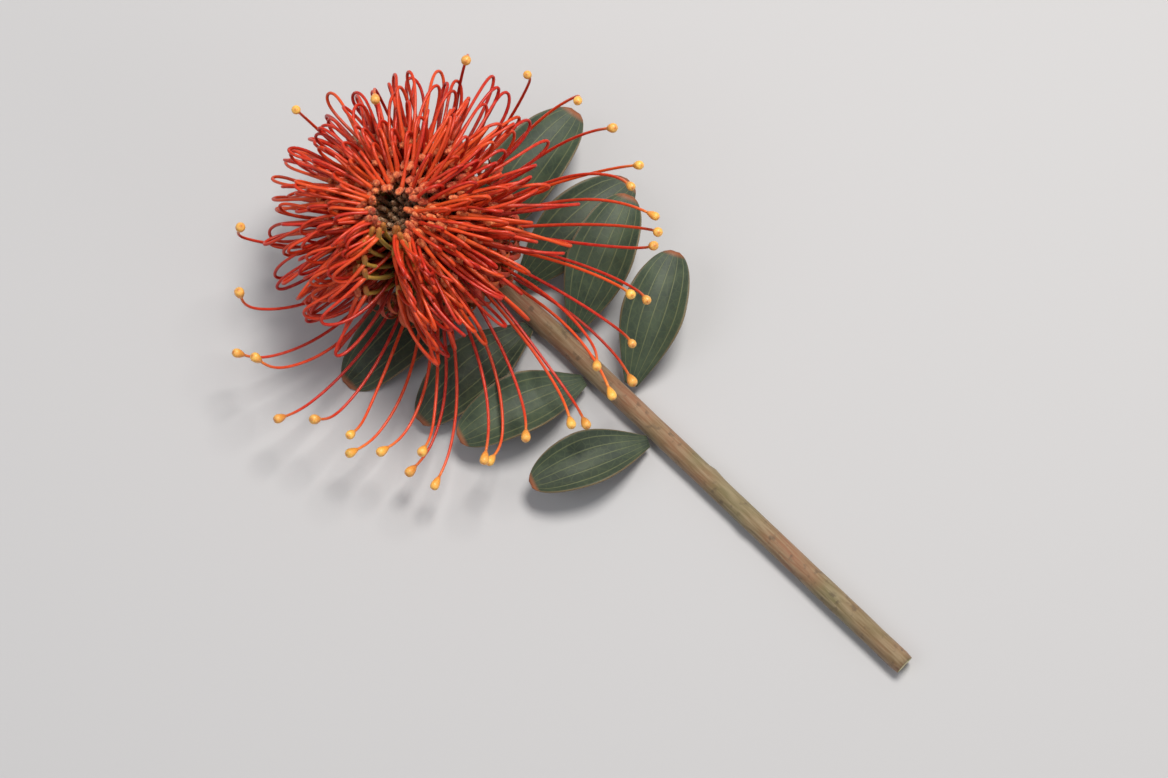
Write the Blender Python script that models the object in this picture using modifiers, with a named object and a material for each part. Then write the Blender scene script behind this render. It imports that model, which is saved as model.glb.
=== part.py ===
"""A pincushion protea, picked: one flower head on its leafy stem, lying on a flat surface.

Lengths are metres. +Z is up and the surface is z = 0. +X runs from the flower head towards the
cut end of the stem, and the origin is the bottom centre of the whole flower's box.

The head is a cone-shaped receptacle whose florets stand in a golden-angle spiral, oldest and
outermost first. Each floret lies in a plane through the head's axis, so it is drawn there as
(radius, height) and then turned round the axis. The outer florets have let go of the tips of
their styles, most of them on the side that opened first. The others still hold them, so their
styles bow out as loops, and the youngest, in the middle, are closed buds.
"""

import math
from random import Random

import bmesh
import bpy
from mathutils import Matrix, Vector

MM = 0.001
GAP = 0.3 * MM
WELD = 0.001 * MM
GOLDEN_ANGLE = math.pi * (3 - math.sqrt(5))

# The head: where the widest ring of its receptacle is centred, and how it leans.
HEAD_BASE = Vector((-0.0708, 0.0066, 0.0185))
HEAD_TILT = math.radians(16)
HEAD_LEAN = math.radians(-92)
OPEN_SIDE = math.radians(90)
RECEPTACLE_RADIUS = 12 * MM
RECEPTACLE_HEIGHT = 26 * MM
NECK_RADIUS = 4 * MM
NECK_HEIGHT = 6 * MM
BALL_CENTRE = 10 * MM

# The involucre: radius and height of its rings in millimetres, from the neck to the rim.
INVOLUCRE_RINGS = ((4.6, -6.6), (8.2, -4.6), (11.9, -2.6), (13.2, -0.6))
BRACTS = 17
BRACT_THICKNESS = 0.9 * MM
NOTCH = 1.4 * MM

# The florets, counted from the outside in. Rows are spirals of every thirteenth floret, and one
# floret in three of a row or of the buds is modelled.
FIRST_SEAT = 12
FIRST_BUD = 250
FLORETS = 286
FREE_FLORETS = 34
OPENING_LEAD = 60
ROWS = 13
STRIDE = 3

# How a held floret stands, for the outermost one and then the innermost one: the angle of its
# limb from the head's axis, the limb's distance from the ball's centre, and the same for the loop.
LIMB_LEANS = (69, 12)
LIMB_DISTANCES = (30 * MM, 31 * MM)
LOOP_LEANS = (103, 28)
LOOP_REACHES = (57 * MM, 45 * MM)
LOOP_HALF_WIDTH = 5 * MM
LOOP_START = 0.4

# How a free style runs, on the side that opened last and then on the side that opened first: its
# angle from the head's axis at its seat and at its tip, how late it bends, and its length.
FREE_STARTS = (88, 99)
FREE_ENDS = (-15, 80)
FREE_BENDS = (0.8, 1.8)
FREE_LENGTHS = (0.92, 1.05)
START_PER_FLORET = 0.28
END_PER_FLORET = 0.12

STYLE_LENGTH = 58 * MM
STYLE_RADIUS = 0.43 * MM
PRESENTER_LENGTH = 4.4 * MM
PRESENTER_RADIUS = 1.3 * MM
TUBE_RADIUS = 0.85 * MM
FREE_LIFT = GAP + 0.4 * TUBE_RADIUS
FOOTING_RADIUS = 0.9 * MM
LIMB_LENGTH = 3.6 * MM
LIMB_RADIUS = 0.92 * MM
BUD_RADIUS = 0.8 * MM
BUD_LENGTHS = (12 * MM, 5 * MM)
BUD_LEAN = 14
BUD_INSET = 0.92

# The stem lies along X, then turns up into the head.
STEM_RADIUS = 3.3 * MM
STEM_END_X = 0.118
STEM_LINE_Y = 0.0136
NECK_REACH = 15 * MM
BEND_REACH = 52 * MM
LEAF_THICKNESS = 0.7 * MM

# Leaves: distance from the head along the stem, heading, rise, length and width.
LEAVES = (
    (11, 178, -8, 50, 24),
    (14, 98, 6, 52, 23),
    (19, -93, -9, 50, 23),
    (32, 88, 3, 46, 22),
    (43, -92, -4, 44, 21),
    (54, 112, 11, 44, 21),
    (78, 116, 9, 42, 20),
    (67, -107, 1, 42, 20),
    (94, -112, 3, 38, 18),
)
LEAF_ROOT = 0.19
LEAF_ARCH = 0.14
LEAF_CUP = 0.2

HEAD = (
    Matrix.Translation(HEAD_BASE)
    @ Matrix.Rotation(HEAD_LEAN, 4, "Z")
    @ Matrix.Rotation(HEAD_TILT, 4, "Y")
)


def mix(start, end, share):
    return start + (end - start) * share


def material(name, color, roughness):
    made = bpy.data.materials.new(name)
    made.use_nodes = True
    shader = made.node_tree.nodes["Principled BSDF"]
    shader.inputs["Base Color"].default_value = (*color, 1)
    shader.inputs["Roughness"].default_value = roughness
    shader.inputs["Metallic"].default_value = 0
    return made


def link(obj, collection, surface):
    """Puts the object in the collection with its one material."""
    collection.objects.link(obj)
    obj.data.materials.clear()
    obj.data.materials.append(surface)
    return obj


def in_head(azimuth, radius, height):
    """The world place of a point of the floret plane at this azimuth."""
    return HEAD @ Vector((radius * math.cos(azimuth), radius * math.sin(azimuth), height))


def bezier(points, share):
    """The point at this share of a cubic Bezier curve."""
    first, second, third, fourth = points
    rest = 1 - share
    return (
        first * rest**3
        + second * (3 * rest**2 * share)
        + third * (3 * rest * share**2)
        + fourth * share**3
    )


def tube(name, points, radii, sides_level):
    """A curve object along the points, as thick as the radii, with closed ends.

    A point that would sink below the surface is laid on it instead.
    """
    curve = bpy.data.curves.new(name, "CURVE")
    curve.dimensions = "3D"
    curve.bevel_depth = 1
    curve.bevel_resolution = sides_level
    curve.use_fill_caps = True
    spline = curve.splines.new("POLY")
    spline.points.add(len(points) - 1)
    for control, place, radius in zip(spline.points, points, radii):
        control.co = (place.x, place.y, max(place.z, radius), 1)
        control.radius = radius
    return bpy.data.objects.new(name, curve)


def as_mesh(obj):
    """A closed mesh of the object as it is evaluated, in world space. The object is removed."""
    bpy.context.scene.collection.objects.link(obj)
    bpy.context.view_layer.update()
    graph = bpy.context.evaluated_depsgraph_get()
    mesh = bpy.data.meshes.new_from_object(obj.evaluated_get(graph))
    mesh.transform(obj.matrix_world)
    bpy.data.objects.remove(obj)
    shape = bmesh.new()
    shape.from_mesh(mesh)
    bmesh.ops.remove_doubles(shape, verts=shape.verts, dist=WELD)
    bmesh.ops.recalc_face_normals(shape, faces=shape.faces)
    shape.to_mesh(mesh)
    shape.free()
    return mesh


def united(name, core, branches):
    """One solid mesh object: the core with every branch that grows out of it."""
    body = bpy.data.objects.new(name, core)
    helpers = []
    for branch in branches:
        helper = bpy.data.objects.new(name + "_branch", branch)
        bpy.context.scene.collection.objects.link(helper)
        helpers.append(helper)
        union = body.modifiers.new("union", "BOOLEAN")
        union.operation = "UNION"
        union.object = helper
    mesh = as_mesh(body)
    for helper in helpers:
        bpy.data.objects.remove(helper)
    mesh.name = name
    return bpy.data.objects.new(name, mesh)


def turned(name, profile, steps):
    """A solid of revolution about Z from a profile that runs from its top to its bottom."""
    mesh = bpy.data.meshes.new(name)
    points = [(radius, 0, height) for radius, height in profile]
    edges = [(index, index + 1) for index in range(len(points) - 1)]
    mesh.from_pydata(points, edges, [])
    obj = bpy.data.objects.new(name, mesh)
    screw = obj.modifiers.new("turn", "SCREW")
    screw.axis = "Z"
    screw.steps = steps
    screw.render_steps = steps
    screw.use_merge_vertices = True
    screw.merge_threshold = 0.01 * MM
    return obj


def age_of(number):
    """0 at the receptacle's widest ring and 1 at its tip."""
    return (number + FIRST_SEAT) / (FLORETS + FIRST_SEAT)


def receptacle_point(age):
    radius = RECEPTACLE_RADIUS * math.sqrt(1 - age**2)
    return Vector((radius, RECEPTACLE_HEIGHT * age))


def seat(number, lift):
    """The floret's seat in its plane, lifted off the receptacle along the surface's normal."""
    place = receptacle_point(age_of(number))
    normal = Vector((place.x / RECEPTACLE_RADIUS**2, place.y / RECEPTACLE_HEIGHT**2)).normalized()
    return place + normal * lift


def polar(angle, distance):
    """A point seen from the middle of the ball of loops, at an angle from the head's axis."""
    return Vector((0, BALL_CENTRE)) + distance * Vector((math.sin(angle), math.cos(angle)))


def youth(number):
    """0 for the outermost floret that isn't a bud and 1 for the innermost."""
    return (number / FIRST_BUD) ** 0.9


def openness(number):
    """1 on the side of the head that opened first, and 0 on the side away from it."""
    return 0.5 + 0.5 * math.cos(number * GOLDEN_ANGLE - OPEN_SIDE)


def opening_rank(number):
    return number - OPENING_LEAD * openness(number)


FREE = sorted(range(FIRST_BUD), key=opening_rank)[:FREE_FLORETS]


def tube_ends(number):
    """Seat and limb of a floret that still holds its style: the two ends of its tube."""
    lean = math.radians(mix(*LIMB_LEANS, youth(number)))
    return seat(number, GAP + FOOTING_RADIUS), polar(lean, mix(*LIMB_DISTANCES, youth(number)))


def loop_line(number, steps):
    """The bowed style of a held floret, from inside its tube round to its limb."""
    base, limb = tube_ends(number)
    lean = math.radians(mix(*LOOP_LEANS, youth(number)))
    reach = polar(lean, mix(*LOOP_REACHES, youth(number)))
    across = LOOP_HALF_WIDTH * Vector((math.cos(lean), -math.sin(lean)))
    corners = (base.lerp(limb, LOOP_START), reach + across, reach - across, limb)
    return [bezier(corners, step / steps) for step in range(steps + 1)]


def free_line(number, steps):
    """The style of a free floret: out from its seat, then curving forward to its tip."""
    chance = Random(number)
    opened = openness(number)
    start = math.radians(mix(*FREE_STARTS, opened) - START_PER_FLORET * number)
    end = mix(*FREE_ENDS, opened) - END_PER_FLORET * number + chance.uniform(-10, 10)
    end = math.radians(end)
    length = STYLE_LENGTH * chance.uniform(0.94, 1.06) * mix(*FREE_LENGTHS, opened)
    line = [seat(number, FREE_LIFT)]
    for step in range(steps):
        angle = mix(start, end, ((step + 0.5) / steps) ** mix(*FREE_BENDS, opened))
        line.append(line[-1] + length / steps * Vector((math.sin(angle), math.cos(angle))))
    return line


def place_line(number, line):
    """World places of a line in the floret's plane."""
    return [in_head(number * GOLDEN_ANGLE, point.x, point.y) for point in line]


def free_floret(name, number):
    """A style with its swollen base and the club-shaped presenter at its tip."""
    steps = 9
    line = free_line(number, steps)
    tip = line[-1]
    ahead = (tip - line[-2]).normalized()
    line += [tip + ahead * PRESENTER_LENGTH * 0.7, tip + ahead * PRESENTER_LENGTH]
    radii = [TUBE_RADIUS, TUBE_RADIUS] + [STYLE_RADIUS] * (steps - 1)
    radii += [PRESENTER_RADIUS, PRESENTER_RADIUS * 0.6]
    return tube(name, place_line(number, line), radii, 0)


def held_floret(number):
    """The meshes of a tube with its limb, and of the style that bows out of it."""
    base, limb = tube_ends(number)
    ahead = (limb - base).normalized()
    below, above = LIMB_LENGTH * 0.6, LIMB_LENGTH * 0.4
    line = [base, limb - ahead * below, limb, limb + ahead * above]
    radii = [TUBE_RADIUS * 0.8, TUBE_RADIUS, LIMB_RADIUS, LIMB_RADIUS * 0.6]
    casing = tube("casing", place_line(number, line), radii, 0)
    steps = 6
    bowed = place_line(number, loop_line(number, steps))
    style = tube("style", bowed, [STYLE_RADIUS] * len(bowed), 0)
    return [as_mesh(casing), as_mesh(style)]


def floret_row(row):
    """A spiral row of held florets, joined where their bases stand side by side."""
    numbers = [number for number in range(row, FIRST_BUD, ROWS) if number not in FREE]
    places = [place_line(number, [seat(number, GAP + FOOTING_RADIUS)])[0] for number in numbers]
    ends = [places[0].lerp(places[1], -0.3), places[-1].lerp(places[-2], -0.3)]
    places = [ends[0], *places, ends[1]]
    footing = as_mesh(tube("footing", places, [FOOTING_RADIUS] * len(places), 0))
    branches = []
    for number in numbers:
        if number % STRIDE == 0:
            branches += held_floret(number)
    return united(f"floret_row_{row + 1:02d}", footing, branches)


def crown_profile():
    """The receptacle's tip, which carries the buds."""
    first = age_of(FIRST_BUD)
    ages = [mix(1, first, step / 4) for step in range(5)]
    outline = [receptacle_point(age) for age in ages]
    return [tuple(point) for point in outline] + [(0, outline[-1].y)]


def young_florets():
    crown = turned("crown", crown_profile(), 16)
    crown.matrix_world = HEAD
    buds = []
    for number in range(FIRST_BUD, FLORETS, STRIDE):
        share = (number - FIRST_BUD) / (FLORETS - FIRST_BUD)
        lean = math.radians(mix(BUD_LEAN, 0, share))
        base = receptacle_point(age_of(number)) * BUD_INSET + Vector((0, BUD_RADIUS * 2))
        length = mix(*BUD_LENGTHS, share)
        tip = base + length * Vector((math.sin(lean), math.cos(lean)))
        line = place_line(number, [base, base.lerp(tip, 0.7), tip])
        buds.append(as_mesh(tube("bud", line, [BUD_RADIUS * 0.7, BUD_RADIUS, BUD_RADIUS * 0.6], 0)))
    return united("young_florets", as_mesh(crown), buds)


def receptacle():
    """A cone with a round shoulder, narrowing below to the neck of the stem."""
    top = age_of(FIRST_BUD)
    ages = [mix(top, 0, step / 7) for step in range(8)]
    outline = [receptacle_point(age) for age in ages]
    floor = outline[0].y - 2 * GAP
    profile = [(0, floor), (outline[0].x, floor)]
    profile += [tuple(point) for point in outline[1:]]
    profile += [(RECEPTACLE_RADIUS * 0.85, -NECK_HEIGHT * 0.35), (NECK_RADIUS, -NECK_HEIGHT)]
    profile += [(0, -NECK_HEIGHT)]
    obj = turned("receptacle", profile, 24)
    obj.matrix_world = HEAD
    return obj


def involucre():
    """The cup of small bracts under the florets, its rim notched between one bract and the next."""
    shape = bmesh.new()
    made = []
    for radius, height in INVOLUCRE_RINGS:
        circle = bmesh.ops.create_circle(shape, segments=2 * BRACTS, radius=radius * MM)["verts"]
        bmesh.ops.translate(shape, verts=circle, vec=(0, 0, height * MM))
        made.append(circle)
    for vert in made[-1][::2]:
        vert.co.z -= NOTCH
    bmesh.ops.bridge_loops(shape, edges=shape.edges)
    bmesh.ops.recalc_face_normals(shape, faces=shape.faces)
    mesh = bpy.data.meshes.new("involucre")
    shape.to_mesh(mesh)
    shape.free()
    obj = bpy.data.objects.new("involucre", mesh)
    shell = obj.modifiers.new("thickness", "SOLIDIFY")
    shell.thickness = BRACT_THICKNESS
    shell.offset = 1
    obj.matrix_world = HEAD
    return obj


def stem_line():
    """Points along the stem's middle from under the head to the cut end."""
    top = HEAD @ Vector((0, 0, -NECK_HEIGHT - 2 * GAP))
    under = HEAD @ Vector((0, 0, -NECK_HEIGHT - NECK_REACH))
    turn = Vector((HEAD_BASE.x + BEND_REACH, STEM_LINE_Y, STEM_RADIUS))
    before = turn - Vector((BEND_REACH * 0.6, 0, 0))
    end = Vector((STEM_END_X, STEM_LINE_Y, STEM_RADIUS))
    bend = [bezier((top, under, before, turn), step / 10) for step in range(11)]
    return bend + [turn.lerp(end, step / 5) for step in range(1, 6)]


def stem():
    line = stem_line()
    return tube("stem", line, [STEM_RADIUS] * len(line), 4)


def along_stem(distance):
    """The place on the stem's middle line at this distance from its upper end, and its run."""
    line = stem_line()
    for first, second in zip(line, line[1:]):
        step = second - first
        if distance <= step.length:
            return first + step.normalized() * distance, step.normalized()
        distance -= step.length
    return line[-1], step.normalized()


def leaf_outline(along):
    """Half the leaf's width, as a share: narrow at the root, widest past the middle, blunt tip."""
    widening = mix(LEAF_ROOT, 1, math.sin(math.pi / 2 * min(1, 1.7 * along)))
    return widening * math.sqrt(1 - 0.98 * along**3.5)


def leaf(index, distance, heading, rise, length, width):
    """A cupped, blunt leaf, seated on the stem's side and kept above the surface."""
    middle, run = along_stem(distance * MM)
    turn = Matrix.Rotation(math.radians(heading), 4, "Z")
    turn = turn @ Matrix.Rotation(math.radians(-rise), 4, "Y")
    ahead = turn @ Vector((1, 0, 0))
    side = (ahead - run * ahead.dot(run)).normalized()
    root = LEAF_ROOT * width * MM / 2 * abs(ahead.dot(run))
    place = Matrix.Translation(middle + side * (STEM_RADIUS + 1.4 * GAP + root)) @ turn
    to_leaf = place.inverted()
    shape = bmesh.new()
    bmesh.ops.create_grid(shape, x_segments=8, y_segments=4, size=1)
    for vert in shape.verts:
        along = (vert.co.x + 1) / 2
        outline = leaf_outline(along)
        across = vert.co.y * outline
        arch = LEAF_ARCH * length * MM * math.sin(math.pi * along * 0.8)
        cup = LEAF_CUP * width * MM * across**2
        world = place @ Vector((along * length * MM, across * width * MM / 2, arch + cup))
        world.z = max(world.z, LEAF_THICKNESS / 2)
        vert.co = to_leaf @ world
    mesh = bpy.data.meshes.new(f"leaf_{index}")
    shape.to_mesh(mesh)
    shape.free()
    obj = bpy.data.objects.new(f"leaf_{index}", mesh)
    obj.matrix_world = place
    shell = obj.modifiers.new("thickness", "SOLIDIFY")
    shell.thickness = LEAF_THICKNESS
    shell.offset = 0
    return obj


def main():
    for obj in list(bpy.data.objects):
        bpy.data.objects.remove(obj)
    flower = bpy.data.collections.new("pincushion_flower")
    bpy.context.scene.collection.children.link(flower)

    bark = material("bark", (0.16, 0.13, 0.06), 0.7)
    wool = material("wool", (0.24, 0.17, 0.09), 0.9)
    red = material("red style", (0.56, 0.045, 0.015), 0.4)
    scarlet = material("scarlet tube", (0.62, 0.07, 0.02), 0.5)
    olive = material("olive bud", (0.22, 0.19, 0.06), 0.7)
    green = material("leaf green", (0.035, 0.06, 0.025), 0.5)

    link(stem(), flower, bark)
    link(receptacle(), flower, wool)
    link(involucre(), flower, wool)
    link(young_florets(), flower, olive)
    for row in range(ROWS):
        link(floret_row(row), flower, scarlet)
    for index, number in enumerate(FREE, 1):
        link(free_floret(f"free_floret_{index:02d}", number), flower, red)
    for index, sizes in enumerate(LEAVES, 1):
        link(leaf(index, *sizes), flower, green)


main()
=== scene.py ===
"""The looks of a picked pincushion protea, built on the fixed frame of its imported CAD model.

Lengths are metres. The flower lies on z = 0 with +X running from its head to the cut end of its
stem. Each floret is drawn in a plane through the head's axis, as (radius, height), and turned
round the axis. The florets are numbered from the outside in, along a golden-angle spiral.
"""

import math
from random import Random

import bmesh
import bpy
from mathutils import Matrix, Vector, noise


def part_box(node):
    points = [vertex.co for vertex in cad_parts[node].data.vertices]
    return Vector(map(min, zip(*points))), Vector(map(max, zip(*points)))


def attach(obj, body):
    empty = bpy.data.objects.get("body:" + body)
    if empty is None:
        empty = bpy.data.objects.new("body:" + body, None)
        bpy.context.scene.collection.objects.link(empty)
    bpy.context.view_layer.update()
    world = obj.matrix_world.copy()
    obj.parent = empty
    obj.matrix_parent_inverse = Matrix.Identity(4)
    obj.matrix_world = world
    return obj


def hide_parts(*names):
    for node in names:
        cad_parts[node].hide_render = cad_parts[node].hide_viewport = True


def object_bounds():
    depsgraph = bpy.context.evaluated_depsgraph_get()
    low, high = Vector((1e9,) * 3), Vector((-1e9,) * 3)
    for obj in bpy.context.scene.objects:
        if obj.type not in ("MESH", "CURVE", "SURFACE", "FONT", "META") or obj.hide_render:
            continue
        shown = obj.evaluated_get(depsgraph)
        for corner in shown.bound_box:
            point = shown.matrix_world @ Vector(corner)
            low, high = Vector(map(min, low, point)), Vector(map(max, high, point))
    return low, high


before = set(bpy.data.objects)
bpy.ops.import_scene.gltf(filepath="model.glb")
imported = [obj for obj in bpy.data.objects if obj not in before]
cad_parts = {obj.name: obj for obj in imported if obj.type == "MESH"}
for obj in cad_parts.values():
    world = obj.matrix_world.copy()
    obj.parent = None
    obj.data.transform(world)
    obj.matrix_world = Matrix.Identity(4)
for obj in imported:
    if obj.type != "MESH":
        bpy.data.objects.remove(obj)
CAD_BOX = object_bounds()

MM = 0.001
GAP = 0.3 * MM
CLEARANCE = 0.05 * MM
GOLDEN_ANGLE = math.pi * (3 - math.sqrt(5))

# The head's lean, its side that opened first, and its receptacle, as in the frame.
HEAD_TILT = math.radians(16)
HEAD_LEAN = math.radians(-92)
OPEN_SIDE = math.radians(90)
RECEPTACLE_RADIUS = 12 * MM
RECEPTACLE_HEIGHT = 26 * MM
NECK_RADIUS = 4 * MM
NECK_HEIGHT = 6 * MM
BALL_CENTRE = 10 * MM

# The florets. Rows are spirals of every thirteenth floret.
FIRST_SEAT = 12
FIRST_BUD = 250
FLORETS = 286
FREE_FLORETS = 34
OPENING_LEAD = 60
ROWS = 13
STYLE_RADIUS = 0.5 * MM
TUBE_RADIUS = 0.95 * MM

# How a held floret stands, for the outermost one and then the innermost one: the angle of its
# limb from the head's axis, the limb's distance from the ball's centre, and the same for the loop.
YOUTH_POWER = 0.9
LIMB_LEANS = (69, 12)
LIMB_DISTANCES = (30 * MM, 31 * MM)
LOOP_LEANS = (103, 28)
LOOP_REACHES = (57 * MM, 45 * MM)
LOOP_HALF_WIDTH = 5 * MM
LOOP_START = 0.4
TUBE_BOW = 1.6 * MM
TUBE_FLATNESS = 0.78

# How far a loop sways out of its plane, as a mean and a spread, and how far it twists on the side
# that opened last and then on the side that opened first.
LOOP_SWAY = (math.radians(1.6), math.radians(4))
LOOP_TWISTS = (math.radians(2.6), math.radians(0.7))

# The parting, where the loops are drawn aside and show the yellow-green tubes: its direction, half
# its width, the share of the florets that it takes to open fully from the outside in, how far the
# loops and the limbs are drawn, and how far drawn a floret is whose limb is still green.
PARTING = math.radians(28)
PARTING_REACH = math.radians(44)
PARTING_FADE = 0.4
PARTING_SWAY = math.radians(24)
PARTING_SWIRL = math.radians(11)
GREEN_FROM = 0.35

# How a free style runs, on the side that opened last and then on the side that opened first: its
# angle from the head's axis at its seat and at its tip, how late it bends, and its length.
STYLE_LENGTH = 58 * MM
FREE_STARTS = (88, 99)
FREE_ENDS = (-15, 80)
FREE_BENDS = (0.8, 1.8)
FREE_LENGTHS = (0.92, 1.05)
START_PER_FLORET = 0.28
END_PER_FLORET = 0.12
HOOK_START = 0.8
PRESENTER_LENGTH = 4.7 * MM
PRESENTER_RADIUS = 1.4 * MM
OVARY_STEPS = 6

# The rolled-back parts of a free perianth: each one's turn round the style and its size.
CURLS = ((0.55, 7.5 * MM), (-0.7, 6.0 * MM), (2.6, 5.0 * MM))
CURL_STEPS = 16
CURL_TURNS = 0.85

# The woolly limbs and the buds.
LIMB_LENGTH = 4.8 * MM
LIMB_RADIUS = 0.98 * MM
HAIRS = 22
HAIR_LENGTH = 0.7 * MM
HAIR_RADII = (0.07 * MM, 0.015 * MM)
BUD_RADIUS = 0.85 * MM
BUD_LENGTHS = (13 * MM, 5 * MM)
BUD_LEAN = 16
BUD_INSET = 0.92

# The receptacle's crown between the buds: height and radius of its rings.
CROWN_RINGS = (
    (21.9 * MM, 6.2 * MM),
    (22.8 * MM, 5.4 * MM),
    (23.9 * MM, 4.2 * MM),
    (25.0 * MM, 2.8 * MM),
    (25.8 * MM, 1.0 * MM),
)

# The involucre, from its low ring, on the neck, to its high one, as (radius, height).
INVOLUCRE_LOW = Vector((NECK_RADIUS + 0.8 * MM, -NECK_HEIGHT - 0.5 * MM))
INVOLUCRE_HIGH = Vector((12.6 * MM, -1.6 * MM))
BRACTS = 58
BRACT_STEPS = 8
BRACT_LENGTHS = (4.5 * MM, 7.5 * MM)
BRACT_WIDTHS = (1.7 * MM, 2.7 * MM)
BRACT_HAIRS = 9

# The stem, its leaf scars and its pith.
STEM_RADIUS = 3.3 * MM
NECK_REACH = 15 * MM
BEND_REACH = 52 * MM
SCARS = 9
FIRST_SCAR = 30 * MM
SCAR_SPACING = 17 * MM
SCAR_RADIUS = 1.7 * MM
SCAR_HEIGHT = 0.45 * MM
PITH_SHARES = (0.9, 0.8, 0.6, 0.4, 0.22, 0.05)

# Leaves: distance from the head along the stem, heading, rise, length and width, in millimetres
# and degrees.
LEAVES = (
    (11, 178, -8, 50, 24),
    (14, 98, 6, 52, 23),
    (19, -93, -9, 50, 23),
    (32, 88, 3, 46, 22),
    (43, -92, -4, 44, 21),
    (54, 112, 11, 44, 21),
    (78, 116, 9, 42, 20),
    (67, -107, 1, 42, 20),
    (94, -112, 3, 38, 18),
)
LEAF_THICKNESS = 0.7 * MM
LEAF_ROOT = 0.19
LEAF_ARCH = 0.14
LEAF_CUP = 0.2
LEAF_GRID = (48, 24)
VEIN_SPACING = 0.36
VEIN_DEPTH = 0.16 * MM

# Material slots of a floret's mesh and of the buds' mesh.
STYLE_SLOT, TUBE_SLOT, WOOL_SLOT, TIP_SLOT = range(4)
BUD_SLOT, BUD_WOOL_SLOT = range(2)

# What is added to the number of a floret, bract or leaf to seed its random draws.
HELD_SEED = 1000
FREE_SEED = 5000
BUD_SEED = 9000
BRACT_SEED = 300
LEAF_SEED = 700

CAMERA_AZIMUTH = math.radians(45)
CAMERA_ELEVATION = math.radians(72)
CAMERA_DISTANCE = 0.84


def mix(start, end, share):
    return start + (end - start) * share


def smooth(share):
    share = min(1, max(0, share))
    return share * share * (3 - 2 * share)


def bezier(points, share):
    """The point at this share of a cubic Bezier curve."""
    first, second, third, fourth = points
    rest = 1 - share
    return (
        first * rest**3
        + second * (3 * rest**2 * share)
        + third * (3 * rest * share**2)
        + fourth * share**3
    )


def curve(points, steps):
    return [bezier(points, step / steps) for step in range(steps + 1)]


def straight(start, ahead, length, steps):
    return [start + ahead * (length * step / steps) for step in range(steps + 1)]


def bulge(count, start, middle, end, peak=0.5):
    """Radii that swell from start to middle at the peak and shrink to end, with a round tip."""
    radii = []
    for index in range(count):
        share = index / (count - 1)
        if share < peak:
            radii.append(mix(start, middle, math.sin(math.pi / 2 * share / peak)))
        else:
            radii.append(mix(end, middle, math.sqrt(1 - ((share - peak) / (1 - peak)) ** 2)))
    return radii


# Where the head and the stem are in the frame


def age_of(number):
    """0 at the receptacle's widest ring and 1 at its tip."""
    return (number + FIRST_SEAT) / (FLORETS + FIRST_SEAT)


def receptacle_point(age):
    radius = RECEPTACLE_RADIUS * math.sqrt(1 - age**2)
    return Vector((radius, RECEPTACLE_HEIGHT * age))


def head_base():
    """The centre of the receptacle's widest ring, from the box of the turned CAD solid."""
    turn = Matrix.Rotation(HEAD_LEAN, 3, "Z") @ Matrix.Rotation(HEAD_TILT, 3, "Y")
    axis = turn @ Vector((0, 0, 1))
    top = age_of(FIRST_BUD)
    steps = 7
    rings = [receptacle_point(top * step / steps) for step in range(steps + 1)]
    rings.append(Vector((NECK_RADIUS, -NECK_HEIGHT)))
    low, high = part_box("receptacle")
    base = []
    for side in range(3):
        spread = math.sqrt(1 - axis[side] ** 2)
        most = max(ring.y * axis[side] + ring.x * spread for ring in rings)
        least = min(ring.y * axis[side] - ring.x * spread for ring in rings)
        base.append((low[side] + high[side] - most - least) / 2)
    return Vector(base)


HEAD = (
    Matrix.Translation(head_base())
    @ Matrix.Rotation(HEAD_LEAN, 4, "Z")
    @ Matrix.Rotation(HEAD_TILT, 4, "Y")
)
STEM_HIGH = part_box("stem")[1]


def in_head(azimuth, radius, height):
    """The world place of a point of the floret plane at this azimuth."""
    return HEAD @ Vector((radius * math.cos(azimuth), radius * math.sin(azimuth), height))


def on_axis(height):
    return HEAD @ Vector((0, 0, height))


def sideways(azimuth):
    """The world direction square to the floret plane at this azimuth."""
    return in_head(azimuth + math.pi / 2, 1, 0) - on_axis(0)


def stem_line(bend_steps, straight_steps):
    """Points along the stem's middle from under the head to the cut end."""
    line_y = STEM_HIGH[1] - STEM_RADIUS
    top = on_axis(-NECK_HEIGHT - 2 * GAP)
    under = on_axis(-NECK_HEIGHT - NECK_REACH)
    turn = Vector((HEAD.translation.x + BEND_REACH, line_y, STEM_RADIUS))
    before = turn - Vector((BEND_REACH * 0.6, 0, 0))
    end = Vector((STEM_HIGH[0], line_y, STEM_RADIUS))
    rest = [turn.lerp(end, step / straight_steps) for step in range(1, straight_steps + 1)]
    return curve((top, under, before, turn), bend_steps) + rest


def along_stem(distance):
    """The place on the stem's middle line at this distance from its upper end, and its run."""
    line = stem_line(10, 5)
    for first, second in zip(line, line[1:]):
        step = second - first
        if distance <= step.length:
            return first + step.normalized() * distance, step.normalized()
        distance -= step.length
    return line[-1], step.normalized()


# Lines of the florets, in their planes


def polar(angle, distance):
    """A point in a floret's plane, seen from the middle of the ball of loops."""
    return Vector((0, BALL_CENTRE)) + distance * Vector((math.sin(angle), math.cos(angle)))


def seat(number, lift):
    """The floret's seat in its plane, lifted off the receptacle along the surface's normal."""
    place = receptacle_point(age_of(number))
    normal = Vector((place.x / RECEPTACLE_RADIUS**2, place.y / RECEPTACLE_HEIGHT**2))
    return place + normal.normalized() * lift


def youth(number):
    """0 for the outermost floret and 1 for the innermost one that isn't a bud."""
    return (number / FIRST_BUD) ** YOUTH_POWER


def openness(number):
    """1 on the side of the head that opened first, and 0 on the side away from it."""
    return 0.5 + 0.5 * math.cos(number * GOLDEN_ANGLE - OPEN_SIDE)


def opening_rank(number):
    return number - OPENING_LEAD * openness(number)


FREE = sorted(range(FIRST_BUD), key=opening_rank)[:FREE_FLORETS]


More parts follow.
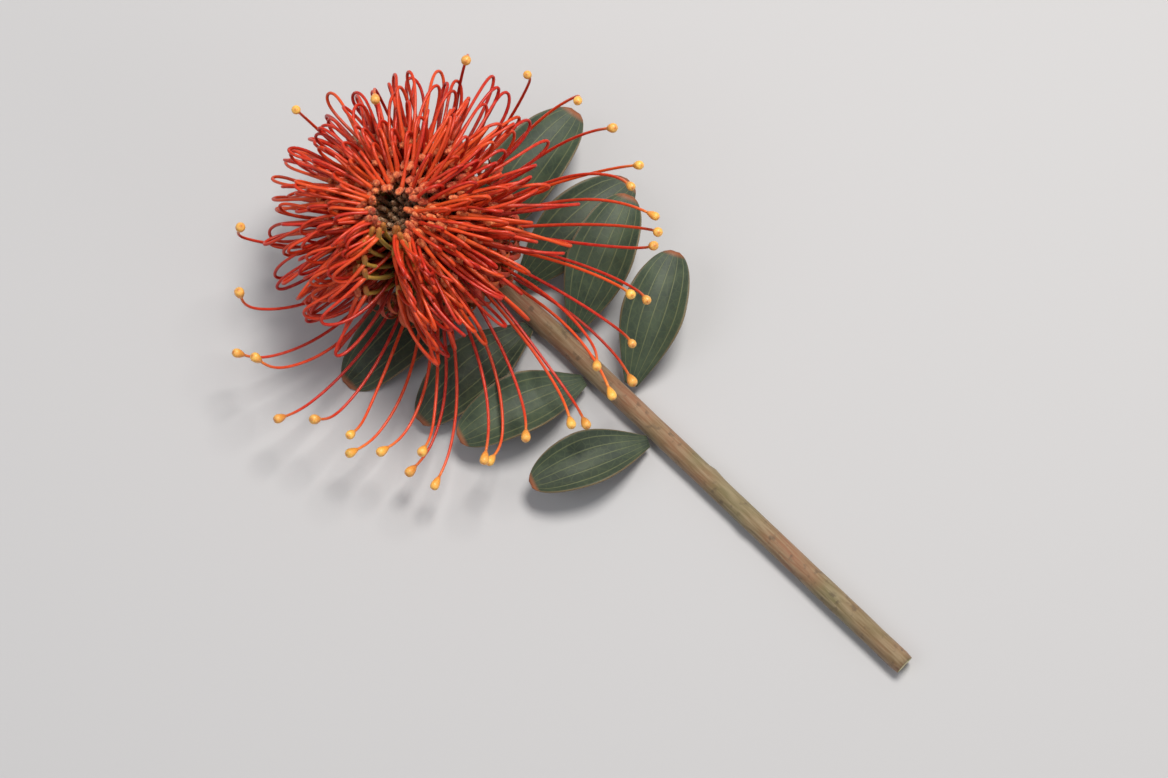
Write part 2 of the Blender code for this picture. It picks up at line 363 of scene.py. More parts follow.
def parting(number):
    """How far, from -1 to 1, the loop is drawn aside from the gap that shows the young tubes."""
    aside = math.remainder(number * GOLDEN_ANGLE - PARTING, 2 * math.pi) / PARTING_REACH
    if abs(aside) > 1:
        return 0
    return math.copysign((1 - abs(aside)) * smooth(number / FIRST_BUD / PARTING_FADE), aside)


def tube_ends(number, chance):
    """Seat and limb of a floret that still holds its style: the two ends of its tube."""
    lean = math.radians(mix(*LIMB_LEANS, youth(number)) + chance.uniform(-4, 4))
    distance = mix(*LIMB_DISTANCES, youth(number)) * chance.uniform(0.92, 1.08)
    return seat(number, GAP + TUBE_RADIUS), polar(lean, distance)


def loop_line(number, base, tip, chance, steps):
    """The bowed style of a held floret, from inside its tube round to its limb."""
    lean = math.radians(mix(*LOOP_LEANS, youth(number)) + chance.uniform(-6, 6))
    reach = polar(lean, mix(*LOOP_REACHES, youth(number)) * chance.uniform(0.88, 1.05))
    half_width = LOOP_HALF_WIDTH * chance.uniform(0.6, 1.25)
    across = half_width * Vector((math.cos(lean), -math.sin(lean)))
    return curve((base.lerp(tip, LOOP_START), reach + across, reach - across, tip), steps)


def free_line(number, steps):
    """The style of a free floret: out from its seat, then curving forward to its hooked tip."""
    chance = Random(number)
    opened = openness(number)
    start = math.radians(mix(*FREE_STARTS, opened) - START_PER_FLORET * number)
    end = mix(*FREE_ENDS, opened) - END_PER_FLORET * number + chance.uniform(-10, 10)
    end = math.radians(end)
    length = STYLE_LENGTH * chance.uniform(0.94, 1.06) * mix(*FREE_LENGTHS, opened)
    hook = math.radians(chance.uniform(5, 45))
    line = [seat(number, GAP + TUBE_RADIUS * 0.4)]
    for step in range(steps):
        share = (step + 0.5) / steps
        angle = mix(start, end, share ** mix(*FREE_BENDS, opened))
        angle -= hook * smooth((share - HOOK_START) / (1 - HOOK_START))
        line.append(line[-1] + length / steps * Vector((math.sin(angle), math.cos(angle))))
    return line


def place_line(number, line, sway=0, swirl=0, twist=0):
    """World places of a line in the floret's plane.

    sway turns its middle round the head's axis, swirl turns its far end, and twist turns its
    first half one way and its second half the other.
    """
    azimuth = number * GOLDEN_ANGLE
    last = len(line) - 1
    places = []
    for index, point in enumerate(line):
        share = index / last
        aside = sway * math.sin(math.pi * share) + swirl * share**2
        aside += twist * math.sin(2 * math.pi * share)
        places.append(in_head(azimuth + aside, point.x, point.y))
    return places


# Mesh building


class Skin:
    """One mesh under construction, with a material slot for each face.

    Each point carries two numbers for the materials: along, from the root of its part to the tip,
    and tint, which is the same for one floret and differs between florets.
    """

    def __init__(self):
        self.points = []
        self.faces = []
        self.slots = []
        self.along = []
        self.tint = []

    def add_ring(self, middle, side, up, radius, flat, sides, along, tint):
        first = len(self.points)
        for corner in range(sides):
            angle = 2 * math.pi * corner / sides
            aside = side * math.cos(angle) + up * (math.sin(angle) * flat)
            self.points.append(middle + aside * radius)
            self.along.append(along)
            self.tint.append(tint)
        return first

    def sweep(self, line, radii, slot, tint, sides=8, flat=1.0, span=(0.0, 1.0), across=None):
        """A tube along the line. flat squeezes it square to across, which makes a ribbon."""
        run = (line[1] - line[0]).normalized()
        side = (across or Vector((0.31, 0.22, 0.93))).cross(run).cross(run).normalized()
        side = -side if across and side.dot(across) < 0 else side
        last = len(line) - 1
        rings = []
        for index, middle in enumerate(line):
            run = (line[min(index + 1, last)] - line[max(index - 1, 0)]).normalized()
            side = (side - run * side.dot(run)).normalized()
            along = mix(*span, index / last)
            up = run.cross(side)
            rings.append(self.add_ring(middle, side, up, radii[index], flat, sides, along, tint))
        for first, second in zip(rings, rings[1:]):
            for corner in range(sides):
                after = (corner + 1) % sides
                self.faces.append((first + corner, first + after, second + after, second + corner))
                self.slots.append(slot)
        self.faces.append(tuple(rings[0] + corner for corner in reversed(range(sides))))
        self.faces.append(tuple(rings[-1] + corner for corner in range(sides)))
        self.slots += [slot, slot]

    def hair(self, root, way, length, slot, tint, span=(0.0, 1.0)):
        tip = root + way.normalized() * length
        self.sweep([root, tip], HAIR_RADII, slot, tint, sides=3, span=span)

    def build(self, name, materials, node_name):
        """Makes the object, which stands for the CAD node. No point sinks below the surface."""
        for point in self.points:
            point.z = max(point.z, CLEARANCE)
        mesh = bpy.data.meshes.new(name)
        mesh.from_pydata(self.points, [], self.faces)
        mesh.polygons.foreach_set("material_index", self.slots)
        for label, values in (("along", self.along), ("tint", self.tint)):
            mesh.attributes.new(label, "FLOAT", "POINT").data.foreach_set("value", values)
        for made in materials:
            mesh.materials.append(made)
        mesh.shade_smooth()
        stand_for_node(name, mesh, node_name)


def stand_for_node(name, mesh, node_name):
    obj = bpy.data.objects.new(name, mesh)
    bpy.context.scene.collection.objects.link(obj)
    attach(obj, "root")
    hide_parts(node_name)
    return obj


# Florets


def limb(skin, place, ahead, tint, chance, scale=1.0, slot=WOOL_SLOT, span=(0.0, 1.0)):
    """The end of a perianth, which holds the style's tip, with short hairs standing out of it."""
    length = LIMB_LENGTH * scale
    radius = LIMB_RADIUS * scale
    line = straight(place - ahead * length * 0.5, ahead, length, 8)
    radii = bulge(9, TUBE_RADIUS * 0.8 * scale, radius, 0.12 * MM, 0.55)
    skin.sweep(line, radii, slot, tint, sides=9, span=span)
    side = ahead.orthogonal().normalized()
    for index in range(HAIRS):
        out = Matrix.Rotation(index * GOLDEN_ANGLE, 3, ahead) @ side
        height = mix(-0.5, 0.5, index / HAIRS) * length
        root = place + ahead * height + out * radius * 0.8
        way = out + ahead * chance.uniform(0.1, 1.2)
        skin.hair(root, way, HAIR_LENGTH * chance.uniform(0.6, 1.2), slot, tint)


def redness(number, drawn):
    """How much of the tube's colours, from yellow-green to red, this floret's tube shows."""
    share = mix(1.0, 0.3, smooth((number / FIRST_BUD - 0.6) / 0.4))
    return mix(share, 0.18, min(1, 2 * abs(drawn)))


def held_floret(skin, number):
    """A perianth tube whose limb still holds the tip of the style, which bows out as a loop."""
    chance = Random(HELD_SEED + number)
    tint = chance.random()
    base, tip = tube_ends(number, chance)
    drawn = parting(number)
    swirl = PARTING_SWIRL * drawn

    steps = 12
    outward = Vector((tip.y - base.y, base.x - tip.x)).normalized() * TUBE_BOW
    corners = (base, base.lerp(tip, 0.35) + outward, base.lerp(tip, 0.7) + outward, tip)
    casing = place_line(number, curve(corners, steps), 0, swirl)
    radii = []
    for step in range(steps + 1):
        radii.append(TUBE_RADIUS * mix(0.75, 1.0, smooth(step / 3)) * mix(1.0, 0.8, step / steps))
    skin.sweep(
        casing,
        radii,
        TUBE_SLOT,
        tint,
        flat=TUBE_FLATNESS,
        span=(0.0, redness(number, drawn)),
        across=sideways(number * GOLDEN_ANGLE),
    )

    inward = (on_axis((casing[-1] - HEAD.translation).length) - casing[-1]).normalized()
    inward *= chance.uniform(0.5, 1.3) * mix(1.0, 0.2, smooth((number / FIRST_BUD - 0.7) / 0.3))
    ahead = ((casing[-1] - casing[-2]).normalized() + inward).normalized()
    place = casing[-1] + ahead * LIMB_LENGTH * 0.3
    if abs(drawn) > GREEN_FROM:
        limb(skin, place, ahead, tint, chance, 0.9, TUBE_SLOT, (0.14, 0.27))
    else:
        limb(skin, place, ahead, tint, chance)

    steps = 26
    bowed = loop_line(number, base, tip, chance, steps)
    sway = chance.gauss(*LOOP_SWAY) + PARTING_SWAY * drawn
    twist = mix(*LOOP_TWISTS, openness(number)) * chance.uniform(0.3, 1.2)
    twist *= chance.choice((-1, 1))
    places = place_line(number, bowed, sway, swirl, twist)
    radii = []
    for step in range(steps + 1):
        swollen = 0.5 * smooth((step / steps - 0.84) / 0.16)
        radii.append(STYLE_RADIUS * (mix(1.08, 0.9, step / steps) + swollen))
    skin.sweep(places, radii, STYLE_SLOT, tint, span=(0.0, 0.94))


def floret_row(row, materials):
    skin = Skin()
    for number in range(row, FIRST_BUD, ROWS):
        if number not in FREE:
            held_floret(skin, number)
    node_name = f"floret_row_{row + 1:02d}"
    skin.build("held_" + node_name, materials, node_name)


def curl(start, ahead, outward, size):
    """A line that goes ahead a little and then rolls back on itself, ever tighter."""
    line = [start]
    for step in range(CURL_STEPS):
        share = (step + 0.5) / CURL_STEPS
        angle = 2 * math.pi * CURL_TURNS * share**1.35
        way = ahead * math.cos(angle) + outward * math.sin(angle)
        line.append(line[-1] + way * (3.2 * size / CURL_STEPS) * mix(1.15, 0.6, share))
    return line


def rolled_perianth(skin, number, start, ahead, tint, chance):
    """The perianth of a free floret, split and rolled back into curls with woolly ends."""
    across = sideways(number * GOLDEN_ANGLE).normalized()
    for turn, size in CURLS:
        about = Matrix.Rotation(turn + chance.uniform(-0.35, 0.35), 3, ahead)
        outward = about @ ahead.cross(across)
        line = curl(start, ahead, outward, size * chance.uniform(0.85, 1.15))
        radii = bulge(CURL_STEPS + 1, 0.75 * MM, 0.95 * MM, 0.45 * MM, 0.4)
        skin.sweep(line, radii, TUBE_SLOT, tint, flat=0.24, across=about @ across)
        way = (line[-1] - line[-2]).normalized()
        limb(skin, line[-1] + way * 0.8 * MM, way, tint, chance, 0.62)


def free_floret(index, number, materials):
    """A style that has let go: swollen base, curled-back perianth and a yellow presenter."""
    skin = Skin()
    chance = Random(FREE_SEED + number)
    tint = chance.random()
    steps = 40
    sway = math.radians(chance.uniform(-3, 3))
    swirl = math.radians(chance.uniform(-11, -3))
    line = place_line(number, free_line(number, steps), sway, swirl)
    for place in line:
        place.z = max(place.z, STYLE_RADIUS)

    root = OVARY_STEPS
    radii = bulge(root + 1, TUBE_RADIUS * 0.8, TUBE_RADIUS * 1.1, TUBE_RADIUS * 0.6)
    skin.sweep(line[: root + 1], radii, TUBE_SLOT, tint, sides=10, span=(0.0, 0.3))
    ahead = (line[root] - line[root - 1]).normalized()
    rolled_perianth(skin, number, line[root], ahead, tint, chance)

    radii = [STYLE_RADIUS * mix(1.1, 0.82, step / steps) for step in range(root - 1, steps + 1)]
    skin.sweep(line[root - 1:], radii, STYLE_SLOT, tint, sides=9)
    ahead = (line[-1] - line[-2]).normalized()
    presenter = straight(line[-1] - ahead * 0.4 * MM, ahead, PRESENTER_LENGTH, 10)
    widest = PRESENTER_RADIUS * chance.uniform(0.9, 1.08)
    radii = bulge(11, STYLE_RADIUS * 0.85, widest, 0.1 * MM, 0.7)
    skin.sweep(presenter, radii, TIP_SLOT, tint, sides=12)
    node_name = f"free_floret_{index:02d}"
    skin.build("styled_" + node_name, materials, node_name)


def young_florets(materials):
    """The closed buds in the hollow, woolly at their tips, on the receptacle's crown."""
    skin = Skin()
    crown = [on_axis(height) for height, _ in CROWN_RINGS]
    skin.sweep(crown, [radius for _, radius in CROWN_RINGS], BUD_SLOT, 0.5, sides=20)
    for number in range(FIRST_BUD, FLORETS):
        chance = Random(BUD_SEED + number)
        tint = chance.random()
        share = (number - FIRST_BUD) / (FLORETS - FIRST_BUD)
        lean = math.radians(mix(BUD_LEAN, 0, share) + chance.uniform(-4, 4))
        base = receptacle_point(age_of(number)) * BUD_INSET + Vector((0, BUD_RADIUS))
        length = mix(*BUD_LENGTHS, share) * chance.uniform(0.9, 1.1)
        upward = Vector((math.sin(lean), math.cos(lean)))
        line = place_line(number, straight(base, upward, length, 6))
        skin.sweep(line, bulge(7, 0.5 * MM, BUD_RADIUS, 0.6 * MM), BUD_SLOT, tint)
        ahead = (line[-1] - line[-2]).normalized()
        limb(skin, line[-1] + ahead * 0.8 * MM, ahead, tint, chance, 0.85, BUD_WOOL_SLOT)
    skin.build("buds", materials, "young_florets")


# Stem, bracts and leaves


def stem(bark, pith):
    """A woody stem with the scars of stripped leaves, cut square at its lower end."""
    skin = Skin()
    line = stem_line(44, 60)
    last = len(line) - 1
    radii = []
    for index, place in enumerate(line):
        swell = 1 + 0.05 * noise.noise(place * 90) + 0.12 * smooth(1 - index / 8)
        radii.append(STEM_RADIUS * min(1.0, mix(0.97, 1, index / last) * swell))
    radii[-1] = STEM_RADIUS * 0.93
    skin.sweep(line, radii, 0, 0.5, sides=26)
    for scar in range(SCARS):
        middle, run = along_stem(FIRST_SCAR + SCAR_SPACING * scar)
        about = Matrix.Rotation(scar * GOLDEN_ANGLE, 3, run)
        raised = middle + about @ run.orthogonal().normalized() * STEM_RADIUS
        for point in skin.points:
            near = (point - raised).length / SCAR_RADIUS
            if near < 3:
                point += (raised - middle).normalized() * SCAR_HEIGHT * math.exp(-(near**2))
    rings = straight(line[-1], Vector((1, 0, 0)), 0.1 * MM, len(PITH_SHARES) - 1)
    skin.sweep(rings, [STEM_RADIUS * share for share in PITH_SHARES], 1, 0.5, sides=26)
    skin.build("cut_stem", [bark, pith], "stem")


def bract_line(azimuth, share, chance):
    """The middle of a bract, at this share of the way up the involucre, curving outward."""
    low, high = INVOLUCRE_LOW, INVOLUCRE_HIGH
    foot = low.lerp(high, 0.86 * math.sqrt(share))
    length = mix(*BRACT_LENGTHS, share)
    lean = math.atan2(high.x - low.x, high.y - low.y)
    line = []
    for step in range(BRACT_STEPS + 1):
        along = step / BRACT_STEPS
        angle = lean - 0.35 + 0.25 * along + chance.uniform(-0.02, 0.05)
        way = Vector((math.sin(angle), math.cos(angle)))
        point = foot + way * length * along + Vector((0.35, -0.45)) * MM * (0.6 + along)
        line.append(in_head(azimuth, point.x, point.y))
    return line


def involucre(surface):
    """Small hairy bracts that overlap upward like tiles round the base of the head."""
    skin = Skin()
    rings = [INVOLUCRE_LOW.lerp(INVOLUCRE_HIGH, step / 6) for step in range(7)]
    core = [on_axis(ring.y) for ring in rings]
    skin.sweep(core, [ring.x - 0.4 * MM for ring in rings], 0, 0.3, sides=32, span=(0.0, 0.2))
    for index in range(BRACTS):
        chance = Random(BRACT_SEED + index)
        share = index / (BRACTS - 1)
        azimuth = index * GOLDEN_ANGLE
        line = bract_line(azimuth, share, chance)
        radii = []
        for step in range(BRACT_STEPS + 1):
            angle = math.pi * mix(0.22, 0.99, (step / BRACT_STEPS) ** 0.9)
            radii.append(mix(*BRACT_WIDTHS, share) * max(0.06, math.sin(angle)))
        tint = chance.random()
        across = sideways(azimuth)
        skin.sweep(line, radii, 0, tint, sides=10, flat=0.16, across=across)
        for hair in range(2 * BRACT_HAIRS):
            step = 2 + hair % 7
            edge = across.normalized() * (1 if hair < BRACT_HAIRS else -1)
            way = edge + (line[step] - line[step - 1]).normalized()
            root = line[step] + edge * radii[step] * 0.95
            skin.hair(root, way, MM * chance.uniform(0.5, 1.2), 0, tint, (0.9, 1.0))
    skin.build("involucral_bracts", [surface], "involucre")


def leaf_outline(along):
    """Half the leaf's width, as a share: narrow at the root, widest past the middle, blunt tip."""
    widening = mix(LEAF_ROOT, 1, math.sin(math.pi / 2 * min(1, 1.7 * along)))
    return widening * math.sqrt(1 - 0.98 * along**3.5)


def leaf_place(distance, heading, rise, width):
    """Where the leaf's root is on the stem's side, and how the leaf is turned."""
    middle, run = along_stem(distance)
    turn = Matrix.Rotation(math.radians(heading), 4, "Z")
    turn = turn @ Matrix.Rotation(math.radians(-rise), 4, "Y")
    ahead = turn @ Vector((1, 0, 0))
    side = (ahead - run * ahead.dot(run)).normalized()
    root = LEAF_ROOT * width / 2 * abs(ahead.dot(run))
    return Matrix.Translation(middle + side * (STEM_RADIUS + 1.4 * GAP + root)) @ turn


def leaf(index, distance, heading, rise, length, width, surface):
    """A cupped, blunt leaf with long veins, seated on the stem and kept above the surface."""
    length *= MM
    width *= MM
    place = leaf_place(distance * MM, heading, rise, width)
    chance = Random(LEAF_SEED + index)
    phase = chance.uniform(0, 6)
    shape = bmesh.new()
    along_layer = shape.verts.layers.float.new("along")
    across_layer = shape.verts.layers.float.new("across")
    rows, columns = LEAF_GRID
    bmesh.ops.create_grid(shape, x_segments=rows, y_segments=columns, size=1)
    for vert in shape.verts:
        along = (vert.co.x + 1) / 2
        share = vert.co.y
        vert[along_layer] = along
        vert[across_layer] = share
        across = share * leaf_outline(along)
        arch = LEAF_ARCH * length * math.sin(math.pi * along * 0.8)
        cup = LEAF_CUP * width * across**2
        wave = 0.5 * MM * share**2 * math.sin(9 * along + phase + 2 * share)
        crest = max(0, math.cos(2 * math.pi * share / VEIN_SPACING)) ** 6
        height = arch + cup + wave - VEIN_DEPTH * crest * (1 - along) ** 0.5
        vert.co = place @ Vector((along * length, across * width / 2, height))
        vert.co.z = max(vert.co.z, LEAF_THICKNESS * 0.4)
    name = f"veined_leaf_{index}"
    mesh = bpy.data.meshes.new(name)
    shape.to_mesh(mesh)
    shape.free()
    mesh.shade_smooth()
    mesh.materials.append(surface)
    tint = mesh.attributes.new("tint", "FLOAT", "POINT")
    tint.data.foreach_set("value", [chance.random()] * len(mesh.vertices))
    obj = stand_for_node(name, mesh, f"leaf_{index}")
    shell = obj.modifiers.new("thickness", "SOLIDIFY")
    shell.thickness = LEAF_THICKNESS * 0.7
    shell.offset = 0


# Materials


def node(tree, kind, inputs=None, **settings):
    """A shader node with its settings and inputs, each input a value or another node's output."""
    made = tree.nodes.new(kind)
    for name, value in settings.items():
        setattr(made, name, value)
    for name, value in (inputs or {}).items():
        if isinstance(value, bpy.types.NodeSocket):
            tree.links.new(value, made.inputs[name])
        else:
            made.inputs[name].default_value = value
    return made


def math_node(tree, operation, *values):
    inputs = dict(enumerate(values))
    return node(tree, "ShaderNodeMath", inputs, operation=operation).outputs[0]


def ramp(tree, factor, *stops):
    """Colours by position, from (position, colour) stops."""
    made = node(tree, "ShaderNodeValToRGB", {"Fac": factor})
    elements = made.color_ramp.elements
    while len(elements) < len(stops):
        elements.new(0.5)
    for element, (position, color) in zip(elements, stops):
        element.position = position
        element.color = (*color, 1)
    return made.outputs["Color"]


def attribute(tree, name):
    return node(tree, "ShaderNodeAttribute", attribute_name=name).outputs["Fac"]


def own_place(tree):
    return node(tree, "ShaderNodeTexCoord").outputs["Object"]


def grain(tree, scale, detail=3.0, stretch=(1, 1, 1)):
    """Noise in the object's own coordinates, in features of about 1 / scale metres."""
    inputs = {"Vector": own_place(tree), "Scale": stretch}
    place = node(tree, "ShaderNodeMapping", inputs).outputs["Vector"]
    inputs = {"Vector": place, "Scale": scale, "Detail": detail}
    return node(tree, "ShaderNodeTexNoise", inputs).outputs["Fac"]


def remap(tree, value, low, high, new_low, new_high):
    inputs = {"Value": value, "From Min": low, "From Max": high}
    inputs.update({"To Min": new_low, "To Max": new_high})
    return node(tree, "ShaderNodeMapRange", inputs).outputs["Result"]


def varied(tree, color, low, high):
    """The colour, made darker or lighter from one floret, bract or leaf to the next."""
    tint = attribute(tree, "tint")
    value = remap(tree, tint, 0.0, 1.0, low, high)
    hue = remap(tree, tint, 0.0, 1.0, 0.494, 0.508)
    inputs = {"Color": color, "Value": value, "Hue": hue}
    return node(tree, "ShaderNodeHueSaturation", inputs).outputs["Color"]


def blend(tree, factor, first, second):
    """From the first colour to the second one, a plain colour, by the factor."""
    inputs = {0: factor, 6: first, 7: (*second, 1)}
    return node(tree, "ShaderNodeMix", inputs, data_type="RGBA").outputs[2]


def speckled(tree, color, mask, low, high, most, second):
    """The colour, blended by up to most into the second one where the mask is high."""
    return blend(tree, remap(tree, mask, low, high, 0.0, most), color, second)


def bump(tree, height, distance, strength):
    inputs = {"Height": height, "Distance": distance, "Strength": strength}
    return node(tree, "ShaderNodeBump", inputs).outputs["Normal"]


def new_material(name, **shader_values):
    """A Principled material, its node tree and its shader node."""
    made = bpy.data.materials.new(name)
    made.use_nodes = True
    shader = made.node_tree.nodes["Principled BSDF"]
    for label, value in shader_values.items():
        shader.inputs[label.replace("_", " ")].default_value = value
    return made, made.node_tree, shader


def wire(tree, shader, color, normal):
    tree.links.new(color, shader.inputs["Base Color"])
    tree.links.new(normal, shader.inputs["Normal"])


def style_material():
    """Waxy scarlet, deeper red at the root, partly painted shade, and orange below the presenter.
    """
    made, tree, shader = new_material(
        "waxy style",
        Roughness=0.36,
        Subsurface_Weight=0.12,
        Subsurface_Scale=0.001,
        Specular_IOR_Level=0.3,
        Coat_Weight=0.08,
        Coat_Roughness=0.2,
    )
    color = ramp(
        tree,
        attribute(tree, "along"),
        # The darkest stops at the root are partly the style's own deeper red and partly painted
        # shade deep among the loops.
        (0.0, (0.28, 0.012, 0.005)),
        (0.25, (0.50, 0.020, 0.006)),
        (0.6, (0.60, 0.032, 0.009)),
        (0.88, (0.68, 0.056, 0.014)),
        (0.94, (0.76, 0.130, 0.040)),
        (1.0, (0.80, 0.220, 0.032)),
    )
    color = varied(tree, color, 0.80, 1.16)
    streaks = grain(tree, 700, 2.0)
    color = speckled(tree, color, streaks, 0.35, 0.75, 0.28, (0.84, 0.13, 0.05))
    wire(tree, shader, color, bump(tree, streaks, 0.00008, 0.5))
    return made


def tube_material():
    """Felted perianth: yellow-green near the root, red along its length."""
    made, tree, shader = new_material(
        "felted perianth",
        Roughness=0.55,
        Subsurface_Weight=0.1,
        Subsurface_Scale=0.001,
        Sheen_Weight=0.12,
        Sheen_Roughness=0.5,
        Sheen_Tint=(1.0, 0.72, 0.62, 1),
    )
    color = ramp(
        tree,
        attribute(tree, "along"),
        (0.0, (0.20, 0.120, 0.018)),
        (0.14, (0.46, 0.310, 0.035)),
        (0.30, (0.46, 0.090, 0.016)),
        (0.6, (0.58, 0.044, 0.011)),
        (0.85, (0.66, 0.080, 0.018)),
        (1.0, (0.72, 0.180, 0.055)),
    )
    color = varied(tree, color, 0.78, 1.12)
    felt = grain(tree, 1400, 4.0)
    color = speckled(tree, color, felt, 0.45, 0.8, 0.3, (0.74, 0.26, 0.12))
    wire(tree, shader, color, bump(tree, felt, 0.00015, 0.7))
    return made


def wool_material(name, dark, middle, light):
    """Matted hairs in three tones."""
    made, tree, shader = new_material(
        name,
        Roughness=0.85,
        Sheen_Weight=0.3,
        Sheen_Roughness=0.4,
        Sheen_Tint=(1.0, 0.8, 0.65, 1),
    )
    mat = grain(tree, 1100, 5.0)
    color = varied(tree, ramp(tree, mat, (0.32, dark), (0.5, middle), (0.68, light)), 0.8, 1.15)
    wire(tree, shader, color, bump(tree, grain(tree, 2600, 3.0), 0.0002, 0.8))
    return made


def tip_material():
    """The pollen presenter: yellow with an orange foot and a darker end."""
    made, tree, shader = new_material(
        "pollen presenter",
        Roughness=0.42,
        Subsurface_Weight=0.15,
        Subsurface_Scale=0.001,
        Coat_Weight=0.1,
        Coat_Roughness=0.3,
    )
    color = ramp(
        tree,
        attribute(tree, "along"),
        (0.0, (0.80, 0.190, 0.030)),
        (0.3, (0.90, 0.330, 0.045)),
        (0.75, (0.94, 0.440, 0.070)),
        (0.93, (0.95, 0.500, 0.100)),
        (1.0, (0.66, 0.200, 0.030)),
    )
    color = varied(tree, color, 0.86, 1.08)
    pollen = grain(tree, 3000, 2.0)
    color = speckled(tree, color, pollen, 0.5, 0.75, 0.4, (0.98, 0.72, 0.30))
    wire(tree, shader, color, bump(tree, pollen, 0.00008, 0.6))
    return made


def bud_material():
    """Olive-brown felt, redder towards the bud's tip."""
    made, tree, shader = new_material(
        "olive bud", Roughness=0.6, Sheen_Weight=0.3, Sheen_Roughness=0.5
    )
    color = ramp(
        tree,
        attribute(tree, "along"),
        (0.0, (0.20, 0.130, 0.030)),
        (0.5, (0.34, 0.200, 0.050)),
        (1.0, (0.46, 0.170, 0.060)),
    )
    color = varied(tree, color, 0.7, 1.2)
    wire(tree, shader, color, bump(tree, grain(tree, 1400, 4.0), 0.00015, 0.7))
    return made


def bark_material():
    """Olive-brown bark, flushed red, with fine lengthwise furrows and dark spots."""
    made, tree, shader = new_material(
        "downy bark",
        Roughness=0.72,
        Sheen_Weight=0.3,
        Sheen_Roughness=0.5,
        Sheen_Tint=(0.95, 0.92, 0.85, 1),
    )
    furrows = grain(tree, 1300, 4.0, (0.09, 1, 1))
    flush = grain(tree, 45, 2.0)
    color = ramp(tree, flush, (0.35, (0.16, 0.135, 0.055)), (0.65, (0.25, 0.105, 0.05)))
    color = speckled(tree, color, furrows, 0.4, 0.7, 0.55, (0.36, 0.28, 0.17))
    spots = grain(tree, 420, 5.0)
    color = speckled(tree, color, spots, 0.58, 0.7, 0.6, (0.07, 0.045, 0.025))
    wire(tree, shader, color, bump(tree, furrows, 0.0003, 0.8))
    return made


def pith_material():
    """The cut end: dark bark ring, pale wood and a soft pith."""
    made, tree, shader = new_material("cut wood", Roughness=0.65)
    color = ramp(
        tree,
        attribute(tree, "along"),
        (0.0, (0.20, 0.16, 0.07)),
        (0.18, (0.52, 0.55, 0.25)),
        (0.5, (0.66, 0.60, 0.38)),
        (0.82, (0.58, 0.46, 0.28)),
        (1.0, (0.42, 0.30, 0.16)),
    )
    fibre = grain(tree, 1800, 3.0)
    color = speckled(tree, color, fibre, 0.4, 0.7, 0.3, (0.30, 0.24, 0.12))
    wire(tree, shader, color, bump(tree, fibre, 0.0002, 0.7))
    return made


def bract_material():
    """Brown-green bracts, flushed pink towards their tips, under pale hairs."""
    made, tree, shader = new_material(
        "hairy bract",
        Roughness=0.75,
        Sheen_Weight=0.5,
        Sheen_Roughness=0.4,
        Sheen_Tint=(1.0, 0.93, 0.85, 1),
    )
    color = ramp(
        tree,
        attribute(tree, "along"),
        (0.0, (0.10, 0.085, 0.035)),
        (0.55, (0.20, 0.130, 0.060)),
        (0.85, (0.36, 0.170, 0.110)),
        (1.0, (0.58, 0.440, 0.320)),
    )
    color = varied(tree, color, 0.75, 1.15)
    down = grain(tree, 1500, 4.0)
    color = speckled(tree, color, down, 0.5, 0.75, 0.45, (0.55, 0.46, 0.36))
    wire(tree, shader, color, bump(tree, down, 0.0002, 0.8))
    return made


def leaf_material():
    """Leathery grey-green with long pale veins, a fine net between them and a brown tip."""
    made, tree, shader = new_material(
        "leathery leaf", Roughness=0.58, Sheen_Weight=0.2, Sheen_Roughness=0.5
    )
    along = attribute(tree, "along")
    across = attribute(tree, "across")
    turn = math_node(tree, "MULTIPLY", across, 2 * math.pi / VEIN_SPACING)
    veins = remap(tree, math_node(tree, "COSINE", turn), 0.90, 1.0, 0.0, 0.8)
    inputs = {"Vector": own_place(tree), "Scale": 420.0}
    cells = node(tree, "ShaderNodeTexVoronoi", inputs, feature="DISTANCE_TO_EDGE")
    net = remap(tree, cells.outputs["Distance"], 0.0, 0.10, 0.25, 0.0)
    mottle = grain(tree, 160, 4.0)
    color = ramp(tree, mottle, (0.35, (0.018, 0.034, 0.017)), (0.65, (0.040, 0.062, 0.030)))
    color = varied(tree, color, 0.85, 1.25)
    color = blend(tree, net, color, (0.085, 0.115, 0.045))
    color = blend(tree, veins, color, (0.130, 0.150, 0.060))
    edge = math_node(tree, "ABSOLUTE", across)
    color = speckled(tree, color, edge, 0.95, 1.0, 0.7, (0.20, 0.13, 0.05))
    color = speckled(tree, color, along, 0.955, 0.985, 0.9, (0.30, 0.09, 0.03))
    wire(tree, shader, color, bump(tree, math_node(tree, "ADD", veins, net), 0.0001, 0.5))
    return made


# Studio


TOWARDS_CAMERA = Vector((
    math.sin(CAMERA_AZIMUTH) * math.cos(CAMERA_ELEVATION),
    -math.cos(CAMERA_AZIMUTH) * math.cos(CAMERA_ELEVATION),
    math.sin(CAMERA_ELEVATION),
))
PICTURE_RIGHT = Vector((math.cos(CAMERA_AZIMUTH), math.sin(CAMERA_AZIMUTH), 0))
PICTURE_UP = TOWARDS_CAMERA.cross(PICTURE_RIGHT)


def area_light(name, towards, distance, size, power, color):
    light = bpy.data.lights.new(name, "AREA")
    light.shape = "DISK"
    light.size = size
    light.energy = power
    light.color = color
    obj = bpy.data.objects.new(name, light)
    bpy.context.scene.collection.objects.link(obj)
    obj.location = towards.normalized() * distance
    obj.rotation_euler = towards.to_track_quat("Z", "Y").to_euler()


def floor():
    shape = bmesh.new()
    bmesh.ops.create_circle(shape, cap_ends=True, segments=96, radius=4)
    mesh = bpy.data.meshes.new("floor")
    shape.to_mesh(mesh)
    shape.free()
    paper = new_material("pale paper", Roughness=0.9, Base_Color=(0.52, 0.52, 0.53, 1))[0]
    mesh.materials.append(paper)
    obj = bpy.data.objects.new("floor", mesh)
    bpy.context.scene.collection.objects.link(obj)


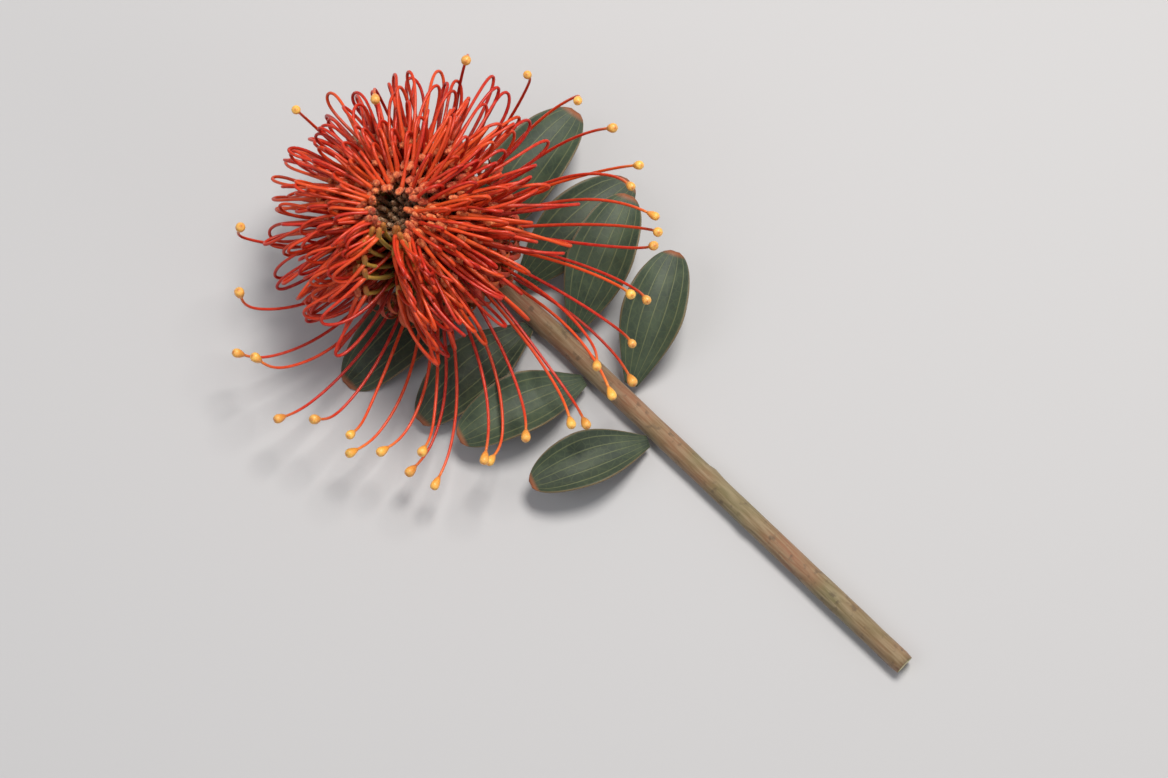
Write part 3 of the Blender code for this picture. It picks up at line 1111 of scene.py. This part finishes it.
def lights():
    """Soft light, most of it from the top of the picture, and a dim pale world."""
    key = 0.76 * TOWARDS_CAMERA + 0.6 * PICTURE_UP + 0.2 * PICTURE_RIGHT
    fill = 0.8 * TOWARDS_CAMERA - 0.6 * PICTURE_RIGHT
    low = 0.45 * TOWARDS_CAMERA + 0.8 * PICTURE_RIGHT - 0.3 * PICTURE_UP
    area_light("key", key, 1.3, 0.5, 17, (1.0, 0.96, 0.91))
    area_light("fill", fill, 1.5, 1.0, 4, (0.93, 0.96, 1.0))
    area_light("low", low, 1.5, 0.8, 3, (1.0, 0.95, 0.9))
    world = bpy.data.worlds.new("studio")
    world.use_nodes = True
    background = world.node_tree.nodes["Background"]
    background.inputs["Color"].default_value = (0.86, 0.88, 0.92, 1)
    background.inputs["Strength"].default_value = 0.28
    bpy.context.scene.world = world


def camera():
    """A camera that looks down on the middle of the flower's box."""
    made = bpy.data.cameras.new("camera")
    made.lens = 90
    obj = bpy.data.objects.new("camera", made)
    bpy.context.scene.collection.objects.link(obj)
    target = (Vector(CAD_BOX[0]) + Vector(CAD_BOX[1])) / 2
    obj.location = target + TOWARDS_CAMERA * CAMERA_DISTANCE
    obj.rotation_euler = TOWARDS_CAMERA.to_track_quat("Z", "Y").to_euler()
    bpy.context.scene.camera = obj


def main():
    wool = wool_material("pink wool", (0.44, 0.05, 0.015), (0.67, 0.13, 0.045), (0.87, 0.33, 0.13))
    bud_wool = wool_material(
        "brown wool", (0.20, 0.08, 0.035), (0.42, 0.24, 0.13), (0.66, 0.48, 0.33)
    )
    florets = (style_material(), tube_material(), wool, tip_material())
    for row in range(ROWS):
        floret_row(row, florets)
    for index, number in enumerate(FREE, 1):
        free_floret(index, number, florets)
    young_florets((bud_material(), bud_wool))

    stem(bark_material(), pith_material())
    bract = bract_material()
    involucre(bract)
    leafy = leaf_material()
    for index, sizes in enumerate(LEAVES, 1):
        leaf(index, *sizes, leafy)
    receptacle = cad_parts["receptacle"].data
    receptacle.materials.clear()
    receptacle.materials.append(bract)

    floor()
    lights()
    camera()
    bpy.context.scene.view_settings.view_transform = "Standard"


main()
